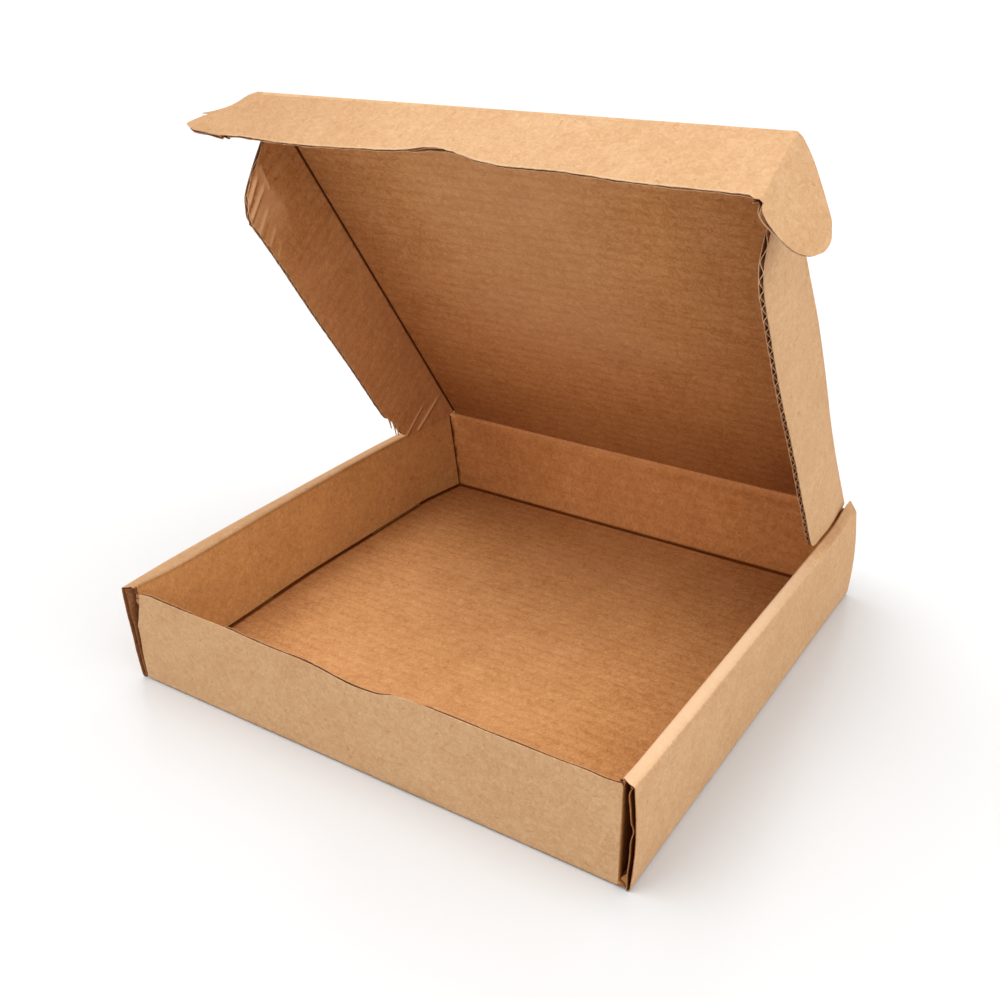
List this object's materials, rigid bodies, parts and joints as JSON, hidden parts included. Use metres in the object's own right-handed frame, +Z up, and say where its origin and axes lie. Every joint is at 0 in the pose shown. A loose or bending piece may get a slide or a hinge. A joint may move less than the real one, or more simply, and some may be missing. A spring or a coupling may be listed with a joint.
{
  "type": "corrugated mailer box",
  "caption": "Shallow roll-end mailer box of fluted board, with a hinged lid, side flaps and a front flap with ears that tuck into the tray.",
  "frame": {"origin": "centre of the tray's underside", "axes": "+X to the right seen from the front, +Y to the hinge wall at the back, +Z up"},
  "size_m": [0.3015, 0.2566, 0.2583],
  "materials": {
    "kraft_board": "matt brown kraft liner"
  },
  "bodies": {
    "tray": {"tray": "kraft_board"},
    "lid_panel": {"lid_panel": "kraft_board"},
    "left_side_flap": {"left_side_flap": "kraft_board"},
    "right_side_flap": {"right_side_flap": "kraft_board"},
    "front_flap": {"front_flap": "kraft_board"},
    "left_ear": {"left_ear": "kraft_board"},
    "right_ear": {"right_ear": "kraft_board"}
  },
  "joints": [
    {"name": "lid_hinge", "type": "hinge", "parent": "tray", "child": "lid_panel", "pos_m": [0, 0.1271, 0.0507], "axis": [-1, 0, 0], "range_deg": [-40, 125]},
    {"name": "left_side_fold", "type": "hinge", "parent": "lid_panel", "child": "left_side_flap", "pos_m": [-0.1231, 0.1271, 0.0507], "axis": [0, -0.5793, 0.8151], "range_deg": [-90, 5]},
    {"name": "right_side_fold", "type": "hinge", "parent": "lid_panel", "child": "right_side_flap", "pos_m": [0.1231, 0.1271, 0.0507], "axis": [0, 0.5793, -0.8151], "range_deg": [-90, 5]},
    {"name": "front_fold", "type": "hinge", "parent": "lid_panel", "child": "front_flap", "pos_m": [0.00001, -0.01849, 0.25557], "axis": [0.9999, -0.0086, 0.0121], "range_deg": [-85, 5]},
    {"name": "left_ear_fold", "type": "hinge", "parent": "front_flap", "child": "left_ear", "pos_m": [-0.12577, -0.01741, 0.25405], "axis": [-0.0013, -0.8625, -0.506], "range_deg": [-5, 82]},
    {"name": "right_ear_fold", "type": "hinge", "parent": "front_flap", "child": "right_ear", "pos_m": [0.1258, -0.01957, 0.25709], "axis": [0.0013, 0.8625, 0.506], "range_deg": [-55, 35]}
  ]
}
